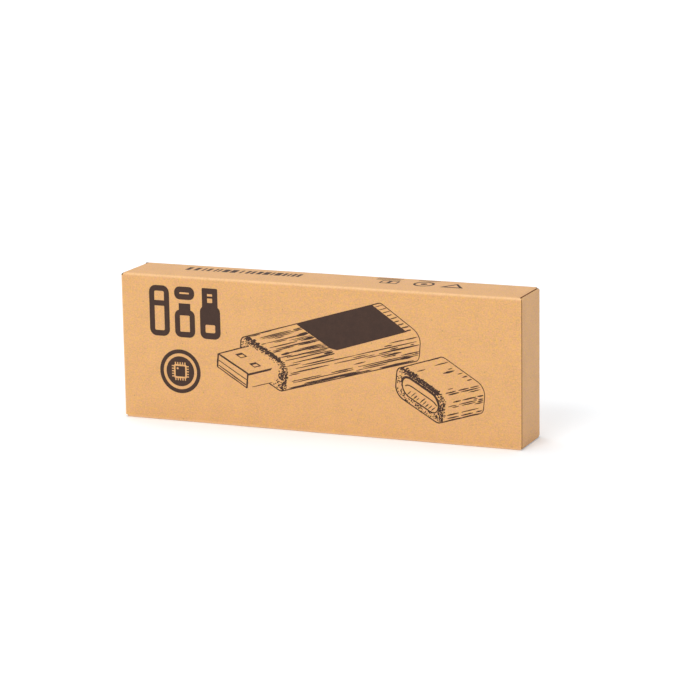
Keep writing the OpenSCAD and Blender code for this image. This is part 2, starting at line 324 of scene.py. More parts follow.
def solder_mask(name):
    """Green solder mask, with copper tracks and pads under it."""
    n = Nodes(name)
    place = n.place()
    track = n.cells(n.stretch(place, (620, 620, 900)), 1.0, feature="DISTANCE_TO_EDGE")
    copper = n.ramp(track, 0.08, 0.05)
    colour = n.mix(copper, (0.012, 0.115, 0.05), (0.045, 0.24, 0.10))
    colour = n.stain(colour, n.noise(place, 300, 3), 0.4, 0.7, 0.3, (0.01, 0.09, 0.045))
    return n.finish(colour, 0.28, copper, 0.02, Coat_Weight=0.5, Coat_Roughness=0.12)


def chip_epoxy(name):
    """Black moulded epoxy with its fine filler."""
    n = Nodes(name)
    place = n.place()
    filler = n.noise(place, 5200, 3, 0.7)
    colour = n.stain((0.014, 0.014, 0.016), filler, 0.4, 0.7, 1.0, (0.045, 0.045, 0.05))
    return n.finish(colour, n.ramp(filler, 0.3, 0.7, 0.5, 0.7), filler, 0.008)


def tan_ceramic(name):
    """The tan ceramic of chip capacitors and resistors."""
    n = Nodes(name)
    place = n.place()
    grain = n.noise(place, 4300, 3)
    colour = n.stain((0.36, 0.25, 0.15), grain, 0.35, 0.7, 1.0, (0.50, 0.37, 0.25))
    return n.finish(colour, 0.5, grain, 0.01)


MATERIALS = {
    # the third tone is the paler fold colour, partly rubbed board and partly a painted highlight
    "kraft": kraft_board("kraft_board", (0.776, 0.428, 0.163), (0.95, 0.60, 0.31)),
    # the cut edge's tone is darker than the board's own cut: partly real darker plies, partly painted shade
    # for the gap beside the edge
    "cut": cut_edge_and_gap_shade("cut_board_edge_and_gap_shade", (0.15, 0.056, 0.017)),
    # the card's third tone is its paler fold colour, partly rubbed and partly a painted highlight
    "card": kraft_board("cradle_card", (0.63, 0.345, 0.145), (0.78, 0.48, 0.25)),
    "ink": printing_ink("brown_ink", (0.050, 0.023, 0.014)),
    "bamboo": bamboo("laminated_bamboo"),
    "label": dark_label("dark_veneer"),
    "core": moulded_plastic("ivory_plastic", (0.70, 0.64, 0.53), 0.42),
    "magnet": pressed_metal("nickel_magnet", (0.66, 0.65, 0.64), 0.22, (900, 900, 900)),
    "steel": pressed_metal("nickel_plated_steel", (0.63, 0.62, 0.61), 0.24),
    "tongue": moulded_plastic("black_plastic", (0.018, 0.018, 0.020), 0.45),
    "gold": pressed_metal("gold_plated_contact", (0.90, 0.62, 0.24), 0.2),
    "mask": solder_mask("green_solder_mask"),
    "epoxy": chip_epoxy("black_epoxy"),
    "can": pressed_metal("crystal_can", (0.62, 0.61, 0.58), 0.32, (700, 700, 700)),
    "ceramic": tan_ceramic("tan_ceramic"),
}

# ---- meshes


def placed(name, data):
    """A new object in the scene, made from a mesh, lamp or camera."""
    made = bpy.data.objects.new(name, data)
    bpy.context.scene.collection.objects.link(made)
    return made


def make_object(name, vertices, faces, materials, face_material=None):
    """A closed mesh object from points in millimetres."""
    mesh = bpy.data.meshes.new(name)
    mesh.from_pydata([tuple(c * MM for c in v) for v in vertices], [], faces)
    for material in materials:
        mesh.materials.append(MATERIALS[material])
    if face_material:
        mesh.polygons.foreach_set("material_index", face_material)
    mesh.validate()
    work = bmesh.new()
    work.from_mesh(mesh)
    bmesh.ops.recalc_face_normals(work, faces=work.faces)
    work.to_mesh(mesh)
    work.free()
    return placed(name, mesh)


def smooth_by_angle(made, degrees):
    made.data.shade_smooth()
    made.data.set_sharp_from_angle(angle=math.radians(degrees))


# ---- folded board

FOLD_STEPS = 8
BACK_GRAIN = 200  # how far the grain of a board's second face is moved along it


def bent_path(points, radius, closed=False):
    """The middle line of a folded board through 2-D points, with round folds.

    Each stop is (place, direction, distance along the flat board, how strongly the fold turns paler, partly
    rubbed board and partly a painted highlight).
    """
    points = [Vector(p) for p in points]
    count = len(points)
    stops = []
    for i, here in enumerate(points):
        if not closed and i in (0, count - 1):
            other = points[1] if i == 0 else points[-2]
            way = (other - here).normalized() * (1 if i == 0 else -1)
            stops.append((here, way, 0.0))
            continue
        into = (here - points[i - 1]).normalized()
        out = (points[(i + 1) % count] - here).normalized()
        turn = into.angle_signed(out)  # positive turns to the right
        reach = radius * math.tan(abs(turn) / 2)
        start = here - into * reach
        side = Vector((into.y, -into.x)) * math.copysign(1, turn)
        centre = start + side * radius
        for step in range(FOLD_STEPS + 1):
            share = step / FOLD_STEPS
            bend = Matrix.Rotation(-turn * share, 2)
            spoke = start - centre
            spoke.rotate(bend)
            way = into.copy()
            way.rotate(bend)
            # the fourth value peaks mid-fold: where the paler rubbed band and the painted highlight are
            # strongest
            stops.append((centre + spoke, way, math.sin(math.pi * share) ** 2))
    path = []
    distance = 0.0
    for i, (place, way, fold_rubbed_and_highlight) in enumerate(stops):
        if i:
            distance += (place - stops[i - 1][0]).length
        path.append((place, way, distance, fold_rubbed_and_highlight))
    if closed:
        distance += (path[0][0] - path[-1][0]).length
        path.append((path[0][0], path[0][1], distance, path[0][3]))
    return path


def folded_board(name, path, place, span, material="kraft", across=10, closed=False, shift=(0, 0),
                 extra=()):
    """A board of real thickness along a path.

    place(point, u) is a 3-D point, and span(distance, point) gives the board's two ends across the path.
    extra are distances along the path where more stops are wanted, and shift moves the board's grain.
    """
    stops = list(path)
    for want in extra:
        for i in range(len(stops) - 1):
            if stops[i][2] < want < stops[i + 1][2] - 1e-6:
                share = (want - stops[i][2]) / (stops[i + 1][2] - stops[i][2])
                spot = stops[i][0].lerp(stops[i + 1][0], share)
                fold_rubbed_and_highlight = stops[i][3] + share * (stops[i + 1][3] - stops[i][3])
                stops.insert(i + 1, (spot, stops[i][1], want, fold_rubbed_and_highlight))
                break
    rows = stops[:-1] if closed else stops
    vertices, flat, fold_rubbed_and_highlights = [], [], []
    for point, way, distance, fold_rubbed_and_highlight in rows:
        side = Vector((way.y, -way.x)) * HALF
        low, high = span(distance, point)
        for j in range(across + 1):
            u = low + (high - low) * j / across
            for sign in (1, -1):
                vertices.append(place(point + side * sign, u))
                flat.append((u + shift[0], distance + shift[1] + BACK_GRAIN * (sign < 0), 0))
                fold_rubbed_and_highlights.append(fold_rubbed_and_highlight)
    stride = 2 * (across + 1)
    count = len(rows)
    faces, kinds = [], []

    def quad(a, b, c, d, kind):
        faces.append((a, b, c, d))
        kinds.append(kind)

    for i in range(count if closed else count - 1):
        a, b = i * stride, (i + 1) % count * stride
        for j in range(across):
            quad(a + 2 * j, a + 2 * j + 2, b + 2 * j + 2, b + 2 * j, 0)
            quad(a + 2 * j + 1, b + 2 * j + 1, b + 2 * j + 3, a + 2 * j + 3, 0)
        quad(a, b, b + 1, a + 1, 1)
        last = 2 * across
        quad(a + last, a + last + 1, b + last + 1, b + last, 1)
    if not closed:
        tail = (count - 1) * stride
        for j in range(across):
            quad(2 * j, 2 * j + 1, 2 * j + 3, 2 * j + 2, 1)
            quad(tail + 2 * j, tail + 2 * j + 2, tail + 2 * j + 3, tail + 2 * j + 1, 1)
    made = make_object(name, vertices, faces, [material, "cut"], kinds)
    layers = made.data.attributes
    layers.new("flat", "FLOAT_VECTOR", "POINT").data.foreach_set("vector", [c for v in flat for c in v])
    # crease: how strongly each point takes the paler fold colour, partly rubbed board and partly a painted
    # highlight
    layers.new("crease", "FLOAT", "POINT").data.foreach_set("value", fold_rubbed_and_highlights)
    smooth_by_angle(made, 32)
    return made


def turned(place):
    """The same place, with the carton turned half round its upright axis."""
    return lambda point, u: Vector((-1, -1, 1)) * place(point, u)


def eased(value, low, high):
    """0 below low, 1 above high, and a smooth step between them."""
    share = min(1, max(0, (value - low) / (high - low)))
    return share * share * (3 - 2 * share)


def corner(left, radius):
    """How far a round corner pulls the side in, at a distance left before the end."""
    if left >= radius:
        return 0.0
    return radius - math.sqrt(max(0, radius ** 2 - (radius - left) ** 2))


CORNER_STEPS = (0.2, 0.45, 0.8, 1.2)  # stops along a wide panel, from its folds
FLAP_FOLD_R, DUST_FOLD_R, TAB_FOLD_R = 0.45, 0.25, 0.3  # middle radii of the folds
FLAP_START = FLAP_X - FLAP_FOLD_R  # where the wide panel ends and the fold of its flap begins
DUST_START = DUST_X - DUST_FOLD_R
RAW_CUT = 0.12  # how far the sleeve's free edge is cut back at its corners
FLAP_CUT = 0.2  # the same for the flap, at its hinge
SEAM_Y = TAB_Y + 1.6  # where the flap's piece ends and the tab's begins
HINGE_Z = 17  # a height at which the hinge lines are given
TAB_ROOT, TAB_TIP, TAB_ROUND = 15.2, 9.2, 2.4  # the tab's half widths and its corner radius
TAB_BEND = 0.45  # how far to each side of its crease the tab bends
DUST_ROUND = 0.8
DUST_STOPS = (6.4, 6.0, 4.0, 2.0, 0.8, 0.5, 0.25, 0.1)  # stops on a dust flap, back from its end


def carton_sleeve():
    """The four panels, one continuous board with round folds along the carton."""
    low, high = HALF, TALL - HALF
    front, back = -DEEP + HALF, DEEP - HALF
    corners_2d = [(front, low), (front, high), (back, high), (back, low)]
    path = bent_path(corners_2d, FOLD_R - HALF, closed=True)
    near_folds = []
    for a, b in zip(path, path[1:]):
        if b[2] - a[2] > DEEP * 2:
            near_folds += [a[2] + step for step in CORNER_STEPS] + [b[2] - step for step in CORNER_STEPS]

    def span(_, point):
        # 0 on a narrow panel and 1 on a wide one, easing through the fold between them
        wide = eased(abs(point.x), DEEP - FOLD_R, DEEP - HALF - 0.15)
        inward = min(point.y, TALL - point.y)
        cut = RAW_CUT * (1 - eased(inward, HALF, FOLD_R + CORNER_STEPS[1]))
        raw = DUST_START + (WIDE - cut - DUST_START) * wide
        folded = DUST_START + (FLAP_START - DUST_START) * wide
        return (-folded, raw) if point.x < 0 else (-raw, folded)

    made = folded_board("carton_sleeve", path, lambda p, u: Vector((u, p.x, p.y)), span, across=40,
                        closed=True, extra=near_folds)
    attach(made, "carton")
    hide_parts("front_panel", "back_panel", "top_panel", "bottom_panel")


def end_boards(side, place_turn, spread):
    """The boards of one end: the flap, its tuck tab and the two dust flaps. spread is how much wider
    than the CAD's the flap is, at each side."""
    low_z, high_z = FLAP_LOW.z - spread, FLAP_HIGH.z + spread
    mid = TALL / 2

    in_plan = place_turn(lambda point, u: Vector((point.x, point.y, u)))

    def flap_span(_, point):
        cut = (spread + FLAP_CUT) * (1 - eased(HINGE_Y - point.y, 0.15, 1.2))
        return low_z + cut, high_z - cut

    def hinge(x, y):
        return in_plan(Vector((x, y)), HINGE_Z) * MM

    path = bent_path([(FLAP_START, HINGE_Y), (FLAP_X, HINGE_Y), (FLAP_X, SEAM_Y)], FLAP_FOLD_R)
    flap = folded_board(f"{side}_closure", path, in_plan, flap_span, across=24, shift=(40, 90),
                        extra=[1.2, 1.8, 2.6])
    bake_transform(flap, "carton", f"{side}_flap", start=hinge(FLAP_START, HINGE_Y),
             end=hinge(FLAP_X, HINGE_Y - FLAP_FOLD_R))
    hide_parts(f"{side}_end_flap")

    lean = Vector((-math.cos(TAB_LEAN), math.sin(TAB_LEAN)))
    crease = Vector((FLAP_X, TAB_Y))
    # the tab's fold gets neither the paler rubbed band nor the painted highlight
    path = [(*stop[:3], 0.0) for stop in
            bent_path([(FLAP_X, SEAM_Y), crease, crease + lean * TAB_LENGTH], TAB_FOLD_R)]
    tip = path[-1][2]

    def tab_span(distance, _):
        left = tip - distance
        if left > TAB_LENGTH - 0.4:
            reach = high_z - mid - (high_z - mid - TAB_ROOT) * eased(distance, 1.2, 1.72)
        else:
            reach = TAB_ROOT - (TAB_ROOT - TAB_TIP) * eased(TAB_LENGTH - left, 0.5, 2.5)
        reach -= corner(left, TAB_ROUND)
        return mid - reach, mid + reach

    stops = [tip - TAB_ROUND + TAB_ROUND * math.sin(math.radians(a)) for a in range(8, 90, 9)]
    stops += [tip - TAB_LENGTH + 0.25 * i for i in range(1, 15)]
    tab = folded_board(f"{side}_tab", path, in_plan, tab_span, across=24, shift=(40, 110),
                       extra=sorted(stops))
    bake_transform(tab, f"{side}_flap", f"{side}_tab", start=hinge(*(crease + Vector((0, TAB_BEND)))),
             end=hinge(*(crease + lean * TAB_BEND)))
    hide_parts(f"{side}_tuck_tab")

    for level, flip in (("upper", 1), ("lower", -1)):
        on_end = place_turn(lambda point, u: Vector((point.x, u, mid + flip * (point.y - mid))))
        path = bent_path([(DUST_START, DUST_Z), (DUST_X, DUST_Z), (DUST_X, DUST_LOW.z)], DUST_FOLD_R)
        full = path[-1][2]

        def dust_span(distance, point):
            down = DUST_Z - point.y
            rounding = corner(full - distance, DUST_ROUND)
            front = -DEEP + FOLD_R + (DUST_LOW.y + DEEP - FOLD_R) * eased(down, 0.1, 0.9)
            back = DEEP - FOLD_R + (DUST_HIGH.y - DEEP + FOLD_R) * eased(down, 0.0, 0.6)
            front += 0.6 * eased(down, 0.9, 7) + rounding
            back -= 3.7 * min(1, max(0, (down - 0.9) / 6.1)) + rounding
            return front, back

        dust = folded_board(f"{side}_{level}_dust", path, on_end, dust_span, shift=(-60, 150),
                            extra=[full - stop for stop in DUST_STOPS])
        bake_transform(dust, "carton", f"{side}_{level}_dust",
                 start=on_end(Vector((DUST_START, DUST_Z)), 0) * MM,
                 end=on_end(Vector((DUST_X, DUST_Z - DUST_FOLD_R)), 0) * MM)
        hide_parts(f"{side}_{level}_dust_flap")


def glued_seam():
    """The glue flap, folded in along the lower back edge and stuck to the bottom panel."""
    path = bent_path([(GLUE_HIGH.y, GLUE_LOW.z + HALF), (GLUE_LOW.y, GLUE_LOW.z + HALF)], 0.1)
    made = folded_board("glue_seam", path, lambda p, u: Vector((u, p.x, p.y)),
                        lambda d, p: (GLUE_LOW.x + 2.5 * eased(d, 0, 3), GLUE_HIGH.x - 2.5 * eased(d, 0, 3)),
                        across=20, extra=[1, 2, 3], shift=(0, 300))
    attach(made, "carton")
    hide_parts("glue_flap")


def card_cradle():
    """One folded card that makes the two rails and the web behind the drive."""
    back, front = UPPER_RAIL[1].y, UPPER_RAIL[0].y + HALF
    web_y = (WEB[0].y + WEB[1].y) / 2
    top, high = UPPER_RAIL[1].z - HALF, UPPER_RAIL[0].z + HALF
    bottom, low = LOWER_RAIL[0].z + HALF, LOWER_RAIL[1].z - HALF
    path = bent_path([(back, top), (front, top), (front, high), (web_y, high), (web_y, low), (front, low),
                      (front, bottom), (back, bottom)], 0.45)
    reach = UPPER_RAIL[1].x
    made = folded_board("card_cradle", path, lambda p, u: Vector((u, p.x, p.y)),
                        lambda d, p: (-reach, reach), "card", across=20, shift=(0, 400))
    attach(made, "carton")
    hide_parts("cradle_web", "cradle_upper_rail", "cradle_lower_rail")


carton_sleeve()
end_boards("right", lambda place: place, 0.25)
end_boards("left", turned, 0.05)
glued_seam()
card_cradle()

# ---- softened copies of CAD parts


def softened(node, name, material, width, slot, body):
    """Stands for a CAD node: the same shape, with its sharp edges rounded."""
    work = bmesh.new()
    work.from_mesh(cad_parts[node].data)
    bmesh.ops.remove_doubles(work, verts=work.verts, dist=1e-7)
    bmesh.ops.dissolve_limit(work, angle_limit=math.radians(1), verts=work.verts, edges=work.edges)
    sharp = [e for e in work.edges if len(e.link_faces) == 2 and e.calc_face_angle(0) > math.radians(35)]
    bmesh.ops.bevel(work, geom=sharp, offset=width * MM, segments=2, profile=0.5, affect="EDGES",
                    clamp_overlap=True)
    bmesh.ops.recalc_face_normals(work, faces=work.faces)
    mesh = bpy.data.meshes.new(name)
    work.to_mesh(mesh)
    work.free()
    mesh.materials.clear()
    mesh.materials.append(MATERIALS[material])
    mesh.polygons.foreach_set("material_index", [0] * len(mesh.polygons))
    made = placed(name, mesh)
    smooth_by_angle(made, 38)
    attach(made, body)
    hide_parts(node)


SOFTENED = [
    # node, name, material, edge radius in mm, slot, body
    ("body_block", "bamboo_body", "bamboo", 0.22, "bamboo", "drive"),
    ("cap_block", "bamboo_cap", "bamboo", 0.22, "bamboo", "cap"),
    ("label_plate", "veneer_label", "label", 0.06, "label", "drive"),
    ("core_upper_shell", "core_upper", "core", 0.06, "core_plastic", "drive"),
    ("core_lower_shell", "core_lower", "core", 0.06, "core_plastic", "drive"),
    ("body_magnets", "magnets_in_body", "magnet", 0.12, "magnet", "drive"),
    ("cap_magnets", "magnets_in_cap", "magnet", 0.12, "magnet", "cap"),
    ("cap_liner", "liner", "core", 0.1, "core_plastic", "cap"),
    ("plug_shell", "plug_metal", "steel", 0.08, "plug_steel", "drive"),
    ("plug_tongue", "tongue", "tongue", 0.08, "tongue_plastic", "drive"),
    ("contact_pins", "contacts", "gold", 0.05, "contact_gold", "drive"),
    ("circuit_board", "board_green", "mask", 0.05, "solder_mask", "drive"),
    ("memory_chip", "memory_package", "epoxy", 0.03, "chip_epoxy", "drive"),
    ("controller_chip", "controller_package", "epoxy", 0.03, "chip_epoxy", "drive"),
    ("crystal", "crystal_can", "can", 0.12, "crystal_can", "drive"),
    ("passives", "chip_parts", "ceramic", 0.05, "chip_ceramic", "drive"),
]
for row in SOFTENED:
    softened(*row)

# ---- printing

PRINT_RISE = 0.012  # how far the ink stands off the board
PRINT_DEPTH = 0.02


def signed_area(outline):
    return sum(a[0] * b[1] - b[0] * a[1] for a, b in zip(outline, outline[1:] + outline[:1])) / 2


def printed(name, shapes, place):
    """A film of ink from 2-D shapes. Later shapes paint over earlier ones, with ink or with bare board.

    place(x, y, rise) is a 3-D point.
    """
    points, loops, inks = [], [], []
    for outline, ink in shapes:
        first = len(points)
        area = signed_area(outline)
        if abs(area) < 1e-4:
            continue
        if area < 0:
            outline = outline[::-1]
        points += [Vector(p) for p in outline]
        loops.append(list(range(first, len(points))))
        inks.append(ink)
    merged = delaunay_2d_cdt(points, [], loops, 1, 1e-5)
    spots, tris, sources = merged[0], merged[2], merged[5]
    kept = [t for t, owners in zip(tris, sources) if owners and inks[max(owners)]]
    used = sorted({i for t in kept for i in t})
    index = {v: k for k, v in enumerate(used)}
    count = len(used)
    vertices = [place(spots[i].x, spots[i].y, PRINT_RISE) for i in used]
    vertices += [place(spots[i].x, spots[i].y, PRINT_RISE - PRINT_DEPTH) for i in used]
    faces = [tuple(index[i] for i in t) for t in kept]
    border = {}
    for t in faces:
        for k in range(len(t)):
            a, b = t[k], t[(k + 1) % len(t)]
            if border.pop((b, a), None) is None:
                border[(a, b)] = True
    faces += [tuple(i + count for i in reversed(t)) for t in faces]
    faces += [(b, a, a + count, b + count) for a, b in border]
    made = make_object(name, vertices, faces, ["ink"])
    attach(made, "carton")


def on_front(x, z, rise):
    return Vector((x, -DEEP - rise, z))


def on_top(x, y, rise):
    return Vector((x, y, TALL + rise))


def ring(x, y, radius, steps=56):
    angles = [2 * math.pi * k / steps for k in range(steps)]
    return [(x + radius * math.cos(a), y + radius * math.sin(a)) for a in angles]


def slab(x0, y0, x1, y1, radius=0.0, steps=6):
    """Rectangle with round corners, from the end of the side at y0."""
    if radius <= 0:
        return [(x0, y0), (x1, y0), (x1, y1), (x0, y1)]
    outline = []
    for cx, cy, start in ((x1 - radius, y0 + radius, -90), (x1 - radius, y1 - radius, 0),
                          (x0 + radius, y1 - radius, 90), (x0 + radius, y0 + radius, 180)):
        for k in range(steps + 1):
            angle = math.radians(start + 90 * k / steps)
            outline.append((cx + radius * math.cos(angle), cy + radius * math.sin(angle)))
    return outline


def print_pictograms():
    """Three upright pictograms of a stick: capped, cap lifted, and ready to plug in."""
    low, high, wide, line = 20.4, 32.5, 5.2, 1.35
    left = (-42.3, -35.75, -29.2)
    shapes = []

    def hollow(x0, y0, x1, y1, radius):
        shapes.append((slab(x0, y0, x1, y1, radius), True))
        shapes.append((slab(x0 + line, y0 + line, x1 - line, y1 - line, max(0.15, radius - line)), False))

    x = left[0]
    hollow(x, low, x + wide, high, 1.7)
    shapes.append((slab(x, high - 4.9, x + wide, high - 3.6), True))
    x = left[1]
    hollow(x, low, x + wide, low + 6.6, 1.5)
    shapes.append((slab(x + 1.1, low + 6.2, x + wide - 1.1, low + 8.1), True))
    hollow(x, high - 3.1, x + wide, high, 1.4)
    x = left[2]
    shapes.append((slab(x, low, x + wide, low + 7.9, 1.5), True))
    shapes.append((slab(x + line, low + 1.5, x + wide - line, low + 3.4, 0.3), False))
    hollow(x + 0.6, low + 7.3, x + wide - 0.6, high, 0.3)
    shapes.append((slab(x + 1.35, high - 2.4, x + wide - 1.35, high - 1.9), True))
    printed("print_pictograms", shapes, on_front)


def print_badge():
    """A ring with a plain memory chip in it."""
    x, y = -34.7, 12.15
    pitch, half, reach = 0.62, 0.14, 2.2  # of the chip's legs
    shapes = [(ring(x, y, 5.27), True), (ring(x, y, 4.32), False), (ring(x, y, 3.6), True)]
    for k in range(-2, 3):
        shift = pitch * k
        shapes.append((slab(x + shift - half, y - reach, x + shift + half, y + reach), False))
        shapes.append((slab(x - reach, y + shift - half, x + reach, y + shift + half), False))
    shapes += [(slab(x - 1.65, y - 1.65, x + 1.65, y + 1.65, 0.35), False),
               (slab(x - 1.25, y - 1.25, x + 1.25, y + 1.25, 0.2), True),
               (ring(x - 0.7, y + 0.7, 0.26, 20), False)]
    printed("print_badge", shapes, on_front)


def print_top_marks():
    """Plain stock bars and three plain handling marks on the top panel."""
    draw = random.Random(5)
    shapes = []
    x, last_x, end_x = -36.5, -7.5, -6.4
    while x < last_x:
        wide = draw.choice((0.5, 0.8, 1.1, 1.5))
        shapes.append((slab(x, 0.6, min(x + wide, end_x), 3.7), True))
        x += wide + draw.choice((0.5, 0.7, 1.0))
    x = 11.0
    for k, reach in enumerate((6.2, 5.6, 5.9)):
        shapes.append((slab(x, 5.2 - 0.8 * k, x + reach, 5.5 - 0.8 * k), True))
    shapes += [(slab(x + 2, -0.2, x + 6.4, 2.8, 0.5), True), (slab(x + 2.4, 0.2, x + 6, 2.4, 0.25), False)]
    shapes.append((slab(x + 3.8, -0.2, x + 4.6, 2.8), True))
    x = 23.6
    shapes += [(ring(x, 1.5, 2.5, 40), True), (ring(x, 1.5, 1.95, 40), False), (ring(x, 1.5, 0.8, 24), True)]
    for k, reach in enumerate((5.2, 4.4)):
        shapes.append((slab(x - 2.6, 5.4 - 0.7 * k, x - 2.6 + reach, 5.65 - 0.7 * k), True))
    x = 28.2
    shapes += [([(x, -0.6), (x + 5.6, -0.6), (x + 2.8, 3.9)], True),
               ([(x + 1.1, 0.05), (x + 4.5, 0.05), (x + 2.8, 2.8)], False)]
    printed("print_top_marks", shapes, on_top)


print_pictograms()
print_badge()
print_top_marks()


class Sketch:
    """A line drawing of the drive: its own sizes, seen along fixed slanting axes on the front panel."""

    ACROSS, DOWN = Vector((0.595, -0.35)), Vector((-0.06, -0.655))
    TURN = Vector((-0.0007, -0.0008))  # what ACROSS gains with each millimetre along

    def __init__(self, origin, along, seed):
        self.origin = Vector(origin)
        self.along = Vector(along)
        self.shapes = []
        self.draw = random.Random(seed)

    def at(self, along, across, down):
        across_way = self.ACROSS + self.TURN * along
        return self.origin + self.along * along + across_way * across + self.DOWN * down

    def fill(self, outline, ink=True):
        self.shapes.append(([tuple(p) for p in outline], ink))

    def line(self, points, width, taper=0.0):
        """A stroke with a slightly uneven width, thinner towards its ends by taper."""
        left, right = [], []
        last = len(points) - 1
        for i, point in enumerate(points):
            way = points[min(i + 1, last)] - points[max(i - 1, 0)]
            if way.length < 1e-6:
                continue
            side = Vector((-way.y, way.x)).normalized()
            share = abs(2 * i / last - 1)
            half = width / 2 * (1 - taper * share ** 2) * self.draw.uniform(0.88, 1.12)
            left.append(point + side * half)
            right.append(point - side * half)
        for k in range(len(left) - 1):
            a, b, c, d = left[k], left[k + 1], right[k + 1], right[k]
            if signed_area([a, b, c]) * signed_area([a, c, d]) > 0:
                self.fill([a, b, c, d])
            else:
                # a stretch that folds over itself is filled as two triangles
                self.fill([a, b, c])
                self.fill([a, c, d])

    def stroke(self, start, end, width, taper=0.75, pieces=5, wobble=0.03):
        """A straight stroke by hand between two (along, across, down) places."""
        points = []
        for k in range(pieces + 1):
            spot = self.at(*[a + (b - a) * k / pieces for a, b in zip(start, end)])
            points.append(spot + Vector([self.draw.uniform(-wobble, wobble) for _ in range(2)]))
        self.line(points, width, taper)

    def dot(self, centre, size, ink=True):
        turn = self.draw.uniform(0, 6.28)
        squash = self.draw.uniform(0.6, 1.0)
        angles = [turn + math.pi * k / 3 for k in range(6)]
        self.fill([centre + Vector((size * math.cos(a), size * squash * math.sin(a))) for a in angles], ink)


def section(width, thick, radius, steps=10):
    """Rounded rectangle round the drive's long axis, as (across, down) pairs from the upper left."""
    outline = slab(-width / 2, -thick / 2, width / 2, thick / 2, radius, steps)
    return outline[-steps - 1:] + outline[:-steps - 1]


def evenly(outline, count):
    """Points at equal distances round a closed outline."""
    ends = outline[1:] + outline[:1]
    lengths = [math.dist(a, b) for a, b in zip(outline, ends)]
    step = sum(lengths) / count
    points, want, passed = [], 0.0, 0.0
    for a, b, length in zip(outline, ends, lengths):
        while want < passed + length and len(points) < count:
            share = (want - passed) / length
            points.append(tuple(p + (q - p) * share for p, q in zip(a, b)))
            want += step
        passed += length
    return points


def cross(a, b):
    return a.x * b.y - a.y * b.x


def inside(point, polygon):
    hit = False
    for i, a in enumerate(polygon):
        b = polygon[i - 1]
        if (a[1] > point[1]) != (b[1] > point[1]):
            if point[0] < (b[0] - a[0]) * (point[1] - a[1]) / (b[1] - a[1]) + a[0]:
                hit = not hit
    return hit


BAND = (0.04, 0.60)  # the stretch of the rim that has a dark band
END_DOTS = 620  # tries at a dot of end grain
DOT, SPECK = (0.10, 0.21), (0.08, 0.17)  # sizes of ink dots and of bare specks
RIM_END = 0.96  # the long lines of grain stop here on the rim
ON_TOP = 0.9  # how near the top face, in mm, grain counts as on it


